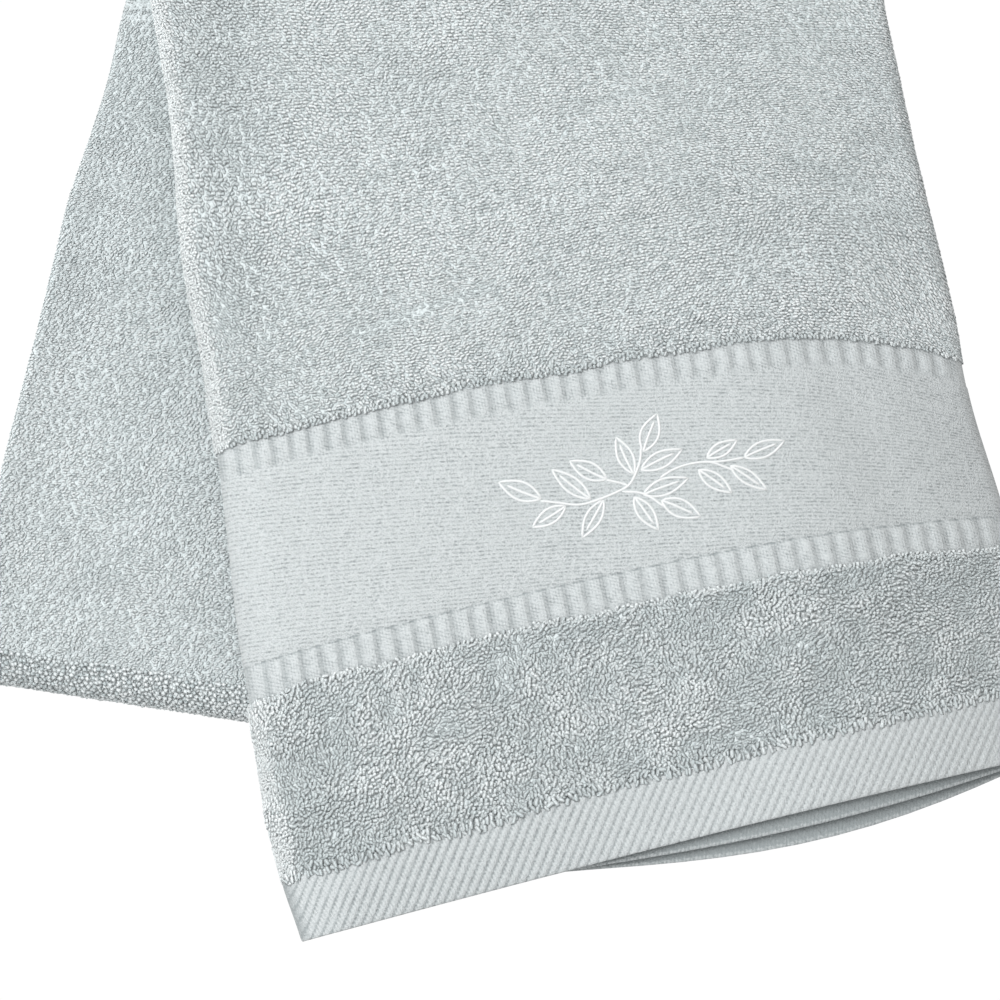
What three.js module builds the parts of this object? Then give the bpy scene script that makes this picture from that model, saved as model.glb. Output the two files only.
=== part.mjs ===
// A cotton bath towel, folded lengthwise in thirds with its border in front, folded in half
// across, and laid a little askew over a level rail. Millimetres, +Z up. +X runs along the
// rail and -Y is the side where the border hangs. The origin lies on the rail's axis.
// The cloth is one closed sheet: a back-and-forth section of three layers, swept from the
// front hem up over the rail, down to the fold at the back, and home again on the inside.
import * as THREE from 'three';

// The cloth as it was woven and cut
const TOWEL_WIDTH = 760;
const TOWEL_LENGTH = 1300;
const PILE_THICKNESS = 3.6;
const TOWEL_COLOR = 0xc9d1d3;

// The border at each end, from the hem's edge inwards. Raised ribs run the towel's way across
// the front third: pitch is from rib to rib, crest the share of it that is raised, and slant
// leans them, in degrees.
const BORDER = [
  { part: 'hem', length: 22, thickness: 2.6, pitch: 3.4, rise: 0.5, crest: 0, slant: 37 },
  { part: 'terry strip', length: 55.5, thickness: PILE_THICKNESS },
  { part: 'lower rib strip', length: 12.5, thickness: 1.4, pitch: 6.3, rise: 0.7, crest: 0.4, slant: 0 },
  { part: 'smooth band', length: 60.5, thickness: 1.8 },
  { part: 'upper rib strip', length: 10.5, thickness: 1.4, pitch: 6.3, rise: 0.7, crest: 0.4, slant: 0 },
];
const RIB_INSET = 0.7;          // from the end of a strip to its ribs
const RIB_FOOT = 0.25;          // share of the pitch before a rib rises
const RIB_FLANK = 0.05;         // share of the pitch that a rib takes to rise or fall
const PILE_EDGE = 1.5;          // length of the step from one thickness to the next
const HEM_EDGE_THICKNESS = 1.6; // the hem's rounded edge

// Folded in thirds: the middle third in front, the left one behind it, the right one last
const LAYER_PITCH = 4.2;
const LEFT_TUCK = 4;            // the left third stops this far short of the right fold
const RIGHT_TUCK = 8;           // the right third stops this far short of the left fold
const PANEL_STEPS = 6;
const FOLD_STEPS = 4;
const HALF_STACK = 3 * LAYER_PITCH;
const FOLD_ARCS = 1.5 * Math.PI * LAYER_PITCH;
const PANEL_WIDTH = (TOWEL_WIDTH - FOLD_ARCS + LEFT_TUCK + RIGHT_TUCK) / 3;
const LEFT_FOLD = -PANEL_WIDTH / 2;
const RIGHT_FOLD = PANEL_WIDTH / 2;

// Folded in half and hung: lengths run along the folded strip, between its two half stacks
const RAIL_RADIUS = 12.5;
const RAIL_LEAN = 8.5;          // degrees between the strip and the upright, over the rail
const FRONT_LENGTH = 311;       // from the front hem up to the rail's level
const INNER_HEM_SHORT = 12;     // the hidden end stops this far above the front hem
const DRAPE_RADIUS = RAIL_RADIUS + HALF_STACK;
const QUARTER_TURN = DRAPE_RADIUS * Math.PI / 2;
const RAIL_SLOPE = Math.tan(THREE.MathUtils.degToRad(RAIL_LEAN));
const OVER_RAIL = 2 * QUARTER_TURN / Math.cos(THREE.MathUtils.degToRad(RAIL_LEAN));
const STRIP_LENGTH = (TOWEL_LENGTH + INNER_HEM_SHORT - Math.PI * HALF_STACK / 2) / 2;
const RAIL_TOP = FRONT_LENGTH + OVER_RAIL / 2;
const BACK_START = FRONT_LENGTH + OVER_RAIL;
const RAIL_STEPS = 10;
const BACK_FOLD_STEPS = 6;
const TAIL_STEPS = 6;

// How the strip lies: along runs from the front hem to the fold at the back, lean is in
// degrees, left and right are shares of the half width, and the rest are depths in mm
const LIE = [
  {
    along: 0, lean: 14, left: 1.045, right: 1.03,
    bow: 2, droop: 0, crown: 2, turn: 22, roll: 4, wave: 1.6,
  },
  {
    along: 22, lean: 14.5, left: 1.055, right: 1.05,
    bow: 3, droop: 0, crown: 3, turn: 22, roll: 5, wave: 1.2,
  },
  {
    along: 90, lean: 12, left: 1.04, right: 1.07,
    bow: 6, droop: 1, crown: 4, turn: 22, roll: 5, wave: 0.8,
  },
  {
    along: 165, lean: 10, left: 1.015, right: 1.06,
    bow: 7, droop: 10, crown: 4, turn: 18, roll: 5, wave: 0.5,
  },
  {
    along: 215, lean: 13.5, left: 0.99, right: 1.03,
    bow: 4, droop: 5, crown: 3, turn: 10, roll: 4, wave: 0.3,
  },
  {
    along: 275, lean: RAIL_LEAN, left: 0.955, right: 1.01,
    bow: 0, droop: 0, crown: 0, turn: 0, roll: 0, wave: 0,
  },
  {
    along: BACK_START + 35, lean: RAIL_LEAN, left: 1, right: 1,
    bow: 0, droop: 0, crown: 0, turn: 0, roll: 0, wave: 0,
  },
  {
    along: BACK_START + 110, lean: 12, left: 1.05, right: 1.035,
    bow: 0, droop: 0, crown: 4, turn: 0, roll: 3, wave: 0.8,
  },
  {
    along: STRIP_LENGTH, lean: 8.5, left: 1.055, right: 1.04,
    bow: 0, droop: 0, crown: 2, turn: 0, roll: 4, wave: 1.5,
  },
];
const WAVE_LENGTH = 150;        // of the soft ripples across the strip
const WAVE_SLANT = 0.3;         // how fast the ripples shift across as they run up it
const BOW_REACH = 1.2;          // half a bow's span, in half panels
const TURN_START = 35;          // where the right side of the front begins to turn back
const DROOP_START = 60;         // where the rows begin to droop towards the right fold
const ROLL_WIDTH = 16;          // of the left side that rolls back
const SIDE_RIPPLE = 1.0;        // how far the long folds wander from a straight line
const SIDE_RIPPLE_LENGTH = 190;
const CALM = { from: 60, to: 100 }; // within this of the rail's top the folds stay straight

// The two hidden layers of the front hem sag a little below it, between these places
const HEM_SAG = { depth: 10.5, from: -40, to: 130, fadeLength: 120 };

// The value of one column of the lie table, eased between its rows
function lieValue(along, column) {
  const last = LIE.length - 2;
  const next = LIE.findIndex((row) => row.along > along);
  const index = next < 0 ? last : THREE.MathUtils.clamp(next - 1, 0, last);
  const low = LIE[index];
  const high = LIE[index + 1];
  const share = THREE.MathUtils.smoothstep(along, low.along, high.along);
  return THREE.MathUtils.lerp(low[column], high[column], share);
}

// The strip's middle line in the plane of the drape, one point to a millimetre: x along the
// rail and climb towards the back, both counted from the top of the rail
function middleLine() {
  const points = [{ x: 0, climb: 0 }];
  const count = Math.ceil(STRIP_LENGTH + HALF_STACK) + 2;
  for (let step = 1; step < count; step += 1) {
    const lean = THREE.MathUtils.degToRad(lieValue(step - 0.5, 'lean'));
    const before = points[step - 1];
    points.push({ x: before.x - Math.sin(lean), climb: before.climb + Math.cos(lean) });
  }
  const top = between(points, RAIL_TOP);
  return points.map((point) => ({ x: point.x - top.x, climb: point.climb - top.climb }));
}

function between(points, along) {
  const index = THREE.MathUtils.clamp(Math.floor(along), 0, points.length - 2);
  const share = along - index;
  return {
    x: THREE.MathUtils.lerp(points[index].x, points[index + 1].x, share),
    climb: THREE.MathUtils.lerp(points[index].climb, points[index + 1].climb, share),
  };
}

const MIDDLE_LINE = middleLine();

// 0 up to a place across the strip, then growing ever faster to 1 at the fold on that side
function towardsFold(across, start) {
  const fold = start > 0 ? RIGHT_FOLD : LEFT_FOLD;
  return Math.max(0, (across - start) / (fold - start)) ** 2;
}

// The place across the strip once the cloth is spread
function spreadPlace(along, across) {
  const share = (across / RIGHT_FOLD + 1) / 2;
  return across * THREE.MathUtils.lerp(lieValue(along, 'left'), lieValue(along, 'right'), share);
}

// How far the stack stands proud of its plain drape
function bulge(along, across) {
  const side = across / RIGHT_FOLD;
  const crown = lieValue(along, 'crown') * (1 - side * side);
  const turned = lieValue(along, 'turn') * towardsFold(across, TURN_START);
  const rolled = lieValue(along, 'roll') * towardsFold(across, LEFT_FOLD + ROLL_WIDTH);
  const ripple = Math.sin(2 * Math.PI * (across - along * WAVE_SLANT) / WAVE_LENGTH);
  return crown - turned - rolled + lieValue(along, 'wave') * ripple;
}

// A place in the folded strip to a place in space. lift is the distance from the middle of
// the stack of six layers, outwards where it is positive.
function drape(along, across, lift) {
  const middle = between(MIDDLE_LINE, along);
  const lean = THREE.MathUtils.degToRad(lieValue(along, 'lean'));
  const free = THREE.MathUtils.smoothstep(Math.abs(along - RAIL_TOP), CALM.from, CALM.to);
  const ripple = free * SIDE_RIPPLE * Math.sin(2 * Math.PI * along / SIDE_RIPPLE_LENGTH);
  const side = across / RIGHT_FOLD;
  const wide = spreadPlace(along, across) + ripple * side;
  const droop = lieValue(along, 'droop') * towardsFold(across, DROOP_START);
  const bow = lieValue(along, 'bow') * Math.cos(side * Math.PI / (2 * BOW_REACH)) - droop;
  const x = middle.x + wide * Math.cos(lean);
  const climb = middle.climb + wide * Math.sin(lean) + bow;
  const reach = DRAPE_RADIUS + lift + bulge(along, across);
  if (climb < -QUARTER_TURN) {
    return new THREE.Vector3(x, -reach, climb + QUARTER_TURN);
  }
  if (climb > QUARTER_TURN) {
    return new THREE.Vector3(x, reach, QUARTER_TURN - climb);
  }
  const angle = climb / DRAPE_RADIUS;
  return new THREE.Vector3(x, reach * Math.sin(angle), reach * Math.cos(angle));
}

// A long fold, from the layer behind it to the layer before it or back: side is -1 on the
// left, where it comes forward, and 1 on the right, where it goes back
function longFold(side, centre, depth, radius) {
  const stops = [];
  for (let step = 1; step < FOLD_STEPS; step += 1) {
    const angle = Math.PI * step / FOLD_STEPS;
    const outAcross = side * Math.sin(angle);
    const outDepth = -side * Math.cos(angle);
    const across = centre + radius * outAcross;
    stops.push({ across, depth: depth + radius * outDepth, outAcross, outDepth, layer: 'fold' });
  }
  return stops;
}

// The section across the cloth: stops from one long edge to the other, each with its place
// across the strip, its depth in the half stack, the way its face side points, and its run
// along the section
function sectionStops() {
  const panelLines = [LEFT_FOLD];
  for (let index = 0; index <= PANEL_STEPS; index += 1) {
    const rolling = LEFT_FOLD + ROLL_WIDTH / 2;
    panelLines.push(THREE.MathUtils.lerp(rolling, RIGHT_FOLD, index / PANEL_STEPS));
  }
  const layerStops = (layer, places, depth, outDepth) => places.map((across) => (
    { across, depth, outAcross: 0, outDepth, layer }));
  const fromRight = [...panelLines].reverse();
  const leftThird = [RIGHT_FOLD - LEFT_TUCK, ...fromRight.slice(1)];
  const rightThird = [...fromRight.slice(0, -2), LEFT_FOLD + RIGHT_TUCK];
  const stops = [
    ...layerStops('left third', leftThird, 1.5 * LAYER_PITCH, 1),
    ...longFold(-1, LEFT_FOLD, LAYER_PITCH, LAYER_PITCH / 2),
    ...layerStops('front', panelLines, LAYER_PITCH / 2, -1),
    ...longFold(1, RIGHT_FOLD, 1.5 * LAYER_PITCH, LAYER_PITCH),
    ...layerStops('right third', rightThird, 2.5 * LAYER_PITCH, 1),
  ];
  stops.forEach((stop, index) => {
    const before = stops[Math.max(0, index - 1)];
    const step = Math.hypot(stop.across - before.across, stop.depth - before.depth);
    stop.run = index > 0 ? before.run + step : 0;
  });
  return stops;
}

const SECTION = sectionStops();

// Where one rib's stops lie, as shares of its pitch: a groove and a ridge, or a flat crest with
// a steep flank on either side of it
function ribShares(crest) {
  const foot = { at: RIB_FOOT, up: 0 };
  if (crest === 0) {
    return [foot, { at: RIB_FOOT + 0.5, up: 1 }];
  }
  const rise = RIB_FOOT + RIB_FLANK;
  const fall = rise + crest;
  return [foot, { at: rise, up: 1 }, { at: fall, up: 1 }, { at: fall + RIB_FLANK, up: 0 }];
}

// The front layer of a row that has ribs: a few stops to each rib, some of them raised
function ribStops(row, start, end) {
  const margin = Math.abs(row.shift) + row.pitch / 2;
  const ribs = Math.floor((PANEL_WIDTH - 2 * margin) / row.pitch);
  const spare = (PANEL_WIDTH - ribs * row.pitch) / 2;
  const shares = ribShares(row.crest);
  const stops = [start];
  for (let rib = 0; rib < ribs; rib += 1) {
    for (const share of shares) {
      const offset = spare + row.pitch * (rib + share.at);
      stops.push({
        ...start,
        across: start.across + offset + row.shift,
        run: start.run + offset,
        rise: share.up * row.rise,
      });
    }
  }
  stops.push(end);
  return stops;
}

// The rows of one border, from the hem's edge inwards
function borderRows(withRibs) {
  const rows = [{ along: 0, thickness: HEM_EDGE_THICKNESS }];
  let start = 0;
  for (const part of BORDER) {
    const first = start + PILE_EDGE / 2;
    const last = start + part.length - PILE_EDGE / 2;
    rows.push({ along: first, thickness: part.thickness });
    if (withRibs && part.pitch) {
      const ribStart = first + RIB_INSET;
      const ribEnd = last - RIB_INSET;
      const shift = Math.tan(THREE.MathUtils.degToRad(part.slant)) * (ribEnd - ribStart) / 2;
      rows.push({ ...part, along: ribStart, shift: -shift });
      rows.push({ ...part, along: ribEnd, shift });
    } else {
      rows.push({ along: (first + last) / 2, thickness: part.thickness });
    }
    rows.push({ along: last, thickness: part.thickness });
    start += part.length;
  }
  rows.push({ along: start + PILE_EDGE / 2, thickness: PILE_THICKNESS });
  return rows.map((row) => ({ ...row, level: 0 }));
}

// The plain rows between two places, whose ends may lie level with the rail
function pileRows(from, to, levelFrom, levelTo, steps) {
  const rows = [];
  for (let step = 1; step <= steps; step += 1) {
    const share = step / steps;
    rows.push({
      along: THREE.MathUtils.lerp(from, to, share),
      level: THREE.MathUtils.lerp(levelFrom, levelTo, share),
      thickness: PILE_THICKNESS,
    });
  }
  return rows;
}

// All rows in order: the outer half, the turn at the back's fold, then the inner half
function sweepRows() {
  const border = borderRows(true);
  const borderEnd = border[border.length - 1].along;
  const pile = [
    ...pileRows(borderEnd, FRONT_LENGTH, 0, 1, TAIL_STEPS),
    ...pileRows(FRONT_LENGTH, BACK_START, 1, 1, RAIL_STEPS),
    ...pileRows(BACK_START, STRIP_LENGTH, 1, 0, TAIL_STEPS),
  ];
  const outer = [...border, ...pile].map((row) => ({ ...row, turn: 0 }));
  const bend = [];
  for (let step = 1; step < BACK_FOLD_STEPS; step += 1) {
    bend.push({ ...outer[outer.length - 1], turn: Math.PI * step / BACK_FOLD_STEPS });
  }
  const innerBorder = borderRows(false).map((row) => ({ ...row, along: row.along + INNER_HEM_SHORT }));
  const inner = [...innerBorder, ...pile].reverse().map((row) => ({ ...row, turn: Math.PI }));
  return [...outer, ...bend, ...inner];
}

// How far a hidden layer of the front hem hangs below the front one
function hemSag(row, stop, across) {
  if (row.turn > 0 || across < HEM_SAG.from || across > HEM_SAG.to) {
    return 0;
  }
  const place = (across - HEM_SAG.from) / (HEM_SAG.to - HEM_SAG.from);
  const behind = (stop.depth / LAYER_PITCH - 0.5) / 2;
  const fade = Math.max(0, 1 - row.along / HEM_SAG.fadeLength) ** 2;
  return HEM_SAG.depth * behind * fade * Math.sin(Math.PI * place);
}

// One point of a row: side is 1 on the cloth's face side and -1 on its other side
function rowPoint(row, stop, side) {
  const rise = side > 0 && stop.rise ? stop.rise : 0;
  const offset = side * (row.thickness / 2 + rise);
  const across = stop.across + offset * stop.outAcross;
  const lift = HALF_STACK - stop.depth - offset * stop.outDepth;
  const slope = row.level * RAIL_SLOPE * spreadPlace(row.along, across);
  const along = row.along - slope - hemSag(row, stop, across) + lift * Math.sin(row.turn);
  return drape(along, across, lift * Math.cos(row.turn));
}

// The closed ring of points of one row: up the face side, back along the other side
function rowRing(row) {
  let faceStops = SECTION;
  if (row.pitch) {
    const first = SECTION.findIndex((stop) => stop.layer === 'front');
    const last = SECTION.findLastIndex((stop) => stop.layer === 'front');
    const ribs = ribStops(row, SECTION[first], SECTION[last]);
    faceStops = [...SECTION.slice(0, first), ...ribs, ...SECTION.slice(last + 1)];
  }
  const whole = SECTION[SECTION.length - 1].run;
  const ring = faceStops.map((stop) => ({ run: stop.run, point: rowPoint(row, stop, 1) }));
  for (const stop of [...SECTION].reverse()) {
    ring.push({ run: 2 * whole + 1 - stop.run, point: rowPoint(row, stop, -1) });
  }
  return ring;
}

// Stitches two rings into a closed band of triangles, also where one has more points
function stitch(triangles, ringA, startA, ringB, startB) {
  const add = (a, b, c) => triangles.push(a, b, c);
  const countA = ringA.length;
  const countB = ringB.length;
  if (countA === countB) {
    for (let index = 0; index < countA; index += 1) {
      const next = (index + 1) % countA;
      const rising = ringA[index].point.distanceTo(ringB[next].point);
      const falling = ringA[next].point.distanceTo(ringB[index].point);
      if (rising < falling) {
        add(startA + index, startA + next, startB + next);
        add(startA + index, startB + next, startB + index);
      } else {
        add(startA + index, startA + next, startB + index);
        add(startA + next, startB + next, startB + index);
      }
    }
    return;
  }
  const around = ringA[countA - 1].run + 1;
  const runOf = (ring, index) => ring[index % ring.length].run + (index >= ring.length ? around : 0);
  let a = 0;
  let b = 0;
  while (a < countA || b < countB) {
    const takeA = b >= countB || (a < countA && runOf(ringA, a + 1) <= runOf(ringB, b + 1));
    if (takeA) {
      add(startA + (a % countA), startA + ((a + 1) % countA), startB + (b % countB));
      a += 1;
    } else {
      add(startA + (a % countA), startB + ((b + 1) % countB), startB + (b % countB));
      b += 1;
    }
  }
}

// Closes the cloth's cut end between its two sides
function closeEnd(triangles, start, flip) {
  const count = SECTION.length;
  for (let index = 0; index < count - 1; index += 1) {
    const a = start + index;
    const b = start + index + 1;
    const c = start + 2 * count - 2 - index;
    const d = start + 2 * count - 1 - index;
    triangles.push(...(flip ? [a, b, c, a, c, d] : [a, c, b, a, d, c]));
  }
}

function towelGeometry() {
  const rings = sweepRows().map(rowRing);
  const positions = [];
  const starts = [];
  for (const ring of rings) {
    starts.push(positions.length / 3);
    for (const { point } of ring) {
      positions.push(point.x, point.y, point.z);
    }
  }
  const triangles = [];
  for (let index = 0; index < rings.length - 1; index += 1) {
    stitch(triangles, rings[index], starts[index], rings[index + 1], starts[index + 1]);
  }
  closeEnd(triangles, starts[0], false);
  closeEnd(triangles, starts[rings.length - 1], true);
  const geometry = new THREE.BufferGeometry();
  geometry.setAttribute('position', new THREE.Float32BufferAttribute(positions, 3));
  geometry.setIndex(triangles);
  geometry.computeVertexNormals();
  return geometry;
}

const towel = new THREE.Mesh(
  towelGeometry(),
  new THREE.MeshStandardMaterial({ color: TOWEL_COLOR, roughness: 0.95, metalness: 0 }),
);
towel.name = 'towel';

const model = new THREE.Group();
model.add(towel);

export default model;
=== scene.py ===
import math

import bpy
import numpy as np
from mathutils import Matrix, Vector


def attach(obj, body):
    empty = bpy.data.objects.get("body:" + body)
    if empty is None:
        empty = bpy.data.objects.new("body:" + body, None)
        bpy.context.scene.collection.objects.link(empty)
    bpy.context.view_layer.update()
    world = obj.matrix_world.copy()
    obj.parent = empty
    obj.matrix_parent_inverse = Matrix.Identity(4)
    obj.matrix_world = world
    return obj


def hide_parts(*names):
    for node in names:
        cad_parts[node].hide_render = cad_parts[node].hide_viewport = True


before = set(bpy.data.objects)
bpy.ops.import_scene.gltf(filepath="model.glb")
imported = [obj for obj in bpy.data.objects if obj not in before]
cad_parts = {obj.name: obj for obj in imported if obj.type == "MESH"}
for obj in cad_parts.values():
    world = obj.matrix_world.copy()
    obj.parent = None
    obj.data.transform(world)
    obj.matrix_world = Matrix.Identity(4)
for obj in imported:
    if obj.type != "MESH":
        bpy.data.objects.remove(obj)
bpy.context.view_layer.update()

# A cotton bath towel, folded lengthwise in thirds with its border in front, folded in half
# across, and laid a little askew over a level rail. The tables are in millimetres.
# A place on the cloth has a run, from one long edge to the other along the weave's width, a
# length, from the front hem to the hidden end, and an offset, how far it stands off the middle
# of the cloth on its face side.
MM = 0.001


# 0 and then the sums of ever more of the steps
def running_total(steps):
    return np.concatenate([[0.0], np.cumsum(steps)])


TOWEL_WIDTH = 760.0
TOWEL_LENGTH = 1300.0
PILE_THICKNESS = 3.6
GROUND_HALF = 1.0        # half the woven ground where loops stand on it
HEM_EDGE_HALF = 0.8      # half the hem's rounded edge
HEM_ROUNDING = 1.2       # how far in from its edge the hem thickens

# The border at each end, from the hem's edge inwards. Half is half a flat part's thickness.
BORDER = [
    {"part": "hem", "length": 22.0, "half": 1.25},
    {"part": "terry strip", "length": 55.5},
    {"part": "lower rib strip", "length": 12.5, "half": 0.65},
    {"part": "smooth band", "length": 60.5, "half": 0.95},
    {"part": "upper rib strip", "length": 10.5, "half": 0.65},
]
PARTS = [row["part"] for row in BORDER] + ["pile"]
PART_STARTS = running_total([row["length"] for row in BORDER])
BORDER_END = PART_STARTS[-1]
STRIP_START = PART_STARTS[1]
STRIP_END = PART_STARTS[2]
LOWER_RIBS_END = PART_STARTS[3]
HEM_LENGTH = STRIP_START
PART_EDGE = 0.5          # half the length of the step from one thickness to the next

# Ribs woven into the border
RIB_PITCH = 6.3
RIB_RISE = 0.65
RIB_STEPS = 9            # columns to a rib
RIB_FADE = 1.6           # how far a rib runs out at each end
RIB_CREST = (0.0, 0.28, 0.54, 0.8)    # where in its pitch it starts, is full, falls and ends
RIBS_END_IN = 4.0        # the ribs die out from here inside the front's long folds
RIBS_END_OUT = 2.0       # to here round them
HEM_PITCH = 3.4
HEM_RISE = 0.5
HEM_SLANT = math.radians(37)
HEM_STEPS = 6
HEM_TAPER = 22.0         # the slant dies out this close to the long folds
HEM_FADE = (0.4, 1.6)
HEM_GROOVE_WIDTH = 0.17
HEM_GROOVE_DEPTH = 1.5
HEM_ROUND_SHARE = 0.35   # of a plain wave in the section of the hem's ropes

# Folded in thirds: the middle third in front, the left one behind it, the right one last
LAYER_PITCH = 4.2
LEFT_TUCK = 4.0
RIGHT_TUCK = 8.0
HALF_STACK = 3 * LAYER_PITCH
FOLD_ARCS = 1.5 * math.pi * LAYER_PITCH
PANEL_WIDTH = (TOWEL_WIDTH - FOLD_ARCS + LEFT_TUCK + RIGHT_TUCK) / 3
LEFT_FOLD = -PANEL_WIDTH / 2
RIGHT_FOLD = PANEL_WIDTH / 2
LEFT_FOLD_RUN = PANEL_WIDTH - LEFT_TUCK
FRONT_RUN = LEFT_FOLD_RUN + math.pi * LAYER_PITCH / 2
RIGHT_FOLD_RUN = FRONT_RUN + PANEL_WIDTH
RIGHT_THIRD_RUN = RIGHT_FOLD_RUN + math.pi * LAYER_PITCH

# Folded in half and hung: lengths run along the folded strip, between its two half stacks
RAIL_RADIUS = 12.5
RAIL_LEAN = 8.5
FRONT_LENGTH = 311.0
INNER_HEM_SHORT = 12.0
DRAPE_RADIUS = RAIL_RADIUS + HALF_STACK
QUARTER_TURN = DRAPE_RADIUS * math.pi / 2
RAIL_SLOPE = math.tan(math.radians(RAIL_LEAN))
OVER_RAIL = 2 * QUARTER_TURN / math.cos(math.radians(RAIL_LEAN))
BEND_LENGTH = math.pi * HALF_STACK / 2
STRIP_LENGTH = (TOWEL_LENGTH + INNER_HEM_SHORT - BEND_LENGTH) / 2
RAIL_TOP = FRONT_LENGTH + OVER_RAIL / 2
BACK_START = FRONT_LENGTH + OVER_RAIL
INNER_START = STRIP_LENGTH + BEND_LENGTH
INNER_RAIL_TOP = INNER_START + STRIP_LENGTH - RAIL_TOP

# How the strip lies: lean in degrees, left and right shares of the half width, the rest depths.
# The front tail's rows come first, then the rail's, then the back tail's.
LIE_COLUMNS = ["along", "lean", "left", "right", "bow", "droop", "crown", "turn", "roll", "wave"]
LIE_ROWS = [
    [0, 14.0, 1.045, 1.03, 2, 0, 2, 22, 4, 1.6],
    [22, 14.5, 1.055, 1.05, 3, 0, 3, 22, 5, 1.2],
    [90, 12.0, 1.04, 1.07, 6, 1, 4, 22, 5, 0.8],
    [165, 10.0, 1.015, 1.06, 7, 10, 4, 18, 5, 0.5],
    [215, 13.5, 0.99, 1.03, 4, 5, 3, 10, 4, 0.3],
    [275, RAIL_LEAN, 0.955, 1.01, 0, 0, 0, 0, 0, 0],
    [BACK_START + 35, RAIL_LEAN, 1.0, 1.0, 0, 0, 0, 0, 0, 0],
    [BACK_START + 110, 12.0, 1.05, 1.035, 0, 0, 4, 0, 3, 0.8],
    [STRIP_LENGTH, 8.5, 1.055, 1.04, 0, 0, 2, 0, 4, 1.5],
]
LIE = {name: np.array([row[index] for row in LIE_ROWS], float) for index, name in enumerate(LIE_COLUMNS)}
WAVE_LENGTH = 150.0
WAVE_SLANT = 0.3
BOW_REACH = 1.2
TURN_START = 35.0
DROOP_START = 60.0
ROLL_WIDTH = 16.0
SIDE_RIPPLE = 1.0
SIDE_RIPPLE_LENGTH = 190.0
CALM_FROM = 60.0
CALM_TO = 100.0
HEM_SAG_DEPTH = 10.5
HEM_SAG_FROM = -40.0
HEM_SAG_TO = 130.0
HEM_SAG_FADE = 120.0


def smoothstep(value, low, high):
    share = np.clip((value - low) / (high - low), 0.0, 1.0)
    return share * share * (3.0 - 2.0 * share)


# 0 up to start, 1 from full to fall, and 0 again from end on
def hump(value, start, full, fall, end):
    return smoothstep(value, start, full) * (1 - smoothstep(value, fall, end))


# The value of one column of the lie table, eased between its rows
def lie_value(along, column):
    places = LIE["along"]
    values = LIE[column]
    index = np.clip(np.searchsorted(places, along, side="right") - 1, 0, len(places) - 2)
    share = smoothstep(along, places[index], places[index + 1])
    return values[index] + (values[index + 1] - values[index]) * share


# The strip's middle line in the plane of the drape, one point to a millimetre
def middle_line():
    count = math.ceil(STRIP_LENGTH + HALF_STACK) + 2
    lean = np.radians(lie_value(np.arange(1, count) - 0.5, "lean"))
    x = running_total(-np.sin(lean))
    climb = running_total(np.cos(lean))
    x -= np.interp(RAIL_TOP, np.arange(count), x)
    climb -= np.interp(RAIL_TOP, np.arange(count), climb)
    return x, climb


MIDDLE_X, MIDDLE_CLIMB = middle_line()


def on_middle_line(values, along):
    index = np.clip(np.floor(along).astype(int), 0, len(values) - 2)
    return values[index] + (values[index + 1] - values[index]) * (along - index)


# 0 up to a place across the strip, then growing ever faster to 1 at the fold on that side
def towards_fold(across, start):
    fold = RIGHT_FOLD if start > 0 else LEFT_FOLD
    return np.maximum(0.0, (across - start) / (fold - start)) ** 2


# The place across the strip once the cloth is spread
def spread_place(along, across):
    share = (across / RIGHT_FOLD + 1) / 2
    left = lie_value(along, "left")
    return across * (left + (lie_value(along, "right") - left) * share)


# Soft troughs pressed into the hanging stack: the places across and along where each starts and
# ends, its width, and its depth, which is below 0 for a ridge
CREASES = [
    ((-100, 300), (-108, 205), 13, 2.0),
    ((18, 170), (128, 173), 10, -1.2),
    ((55, 183), (120, 214), 11, 1.4),
    ((-60, 262), (10, 285), 14, 0.9),
    ((-20, 228), (40, 244), 16, -0.8),
    ((92, 84), (84, 150), 12, 1.2),
    ((-102, 71), (-112, 24), 7, 1.1),
    ((-47, 56), (-38, 46), 6, 1.1),
    ((-16, 44), (-8, 30), 7, 1.1),
    ((26, 22), (36, 30), 6, 0.9),
    ((50, 30), (84, 56), 7, 1.1),
    ((-80, 30), (-62, 22), 6, 0.8),
]

# Lines where only the loops part and lie lower
PARTINGS = [
    ((-74, 189), (-50, 193), 2.2, 1.0),
    ((-50, 193), (-26, 197), 1.8, 0.8),
    ((-60, 240), (-30, 250), 2.0, 0.5),
    ((20, 262), (50, 268), 2.2, 0.5),
    ((84, 228), (108, 216), 2.5, 0.6),
]


def crease_depth(along, across, creases=CREASES):
    depth = along * 0.0
    for (start_across, start_along), (end_across, end_along), width, deepest in creases:
        reach_across = end_across - start_across
        reach_along = end_along - start_along
        share = (across - start_across) * reach_across + (along - start_along) * reach_along
        share = np.clip(share / (reach_across ** 2 + reach_along ** 2), 0, 1)
        away_across = across - start_across - share * reach_across
        away_along = along - start_along - share * reach_along
        away = (away_across ** 2 + away_along ** 2) / width ** 2
        depth = depth + deepest * np.exp(-away)
    return depth


# How far the stack stands proud of its plain drape
def bulge(along, across):
    side = across / RIGHT_FOLD
    ripple = np.sin(2 * math.pi * (across - along * WAVE_SLANT) / WAVE_LENGTH)
    crown = lie_value(along, "crown") * (1 - side * side)
    turned = lie_value(along, "turn") * towards_fold(across, TURN_START)
    rolled = lie_value(along, "roll") * towards_fold(across, LEFT_FOLD + ROLL_WIDTH)
    return crown - turned - rolled + lie_value(along, "wave") * ripple - crease_depth(along, across)


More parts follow.
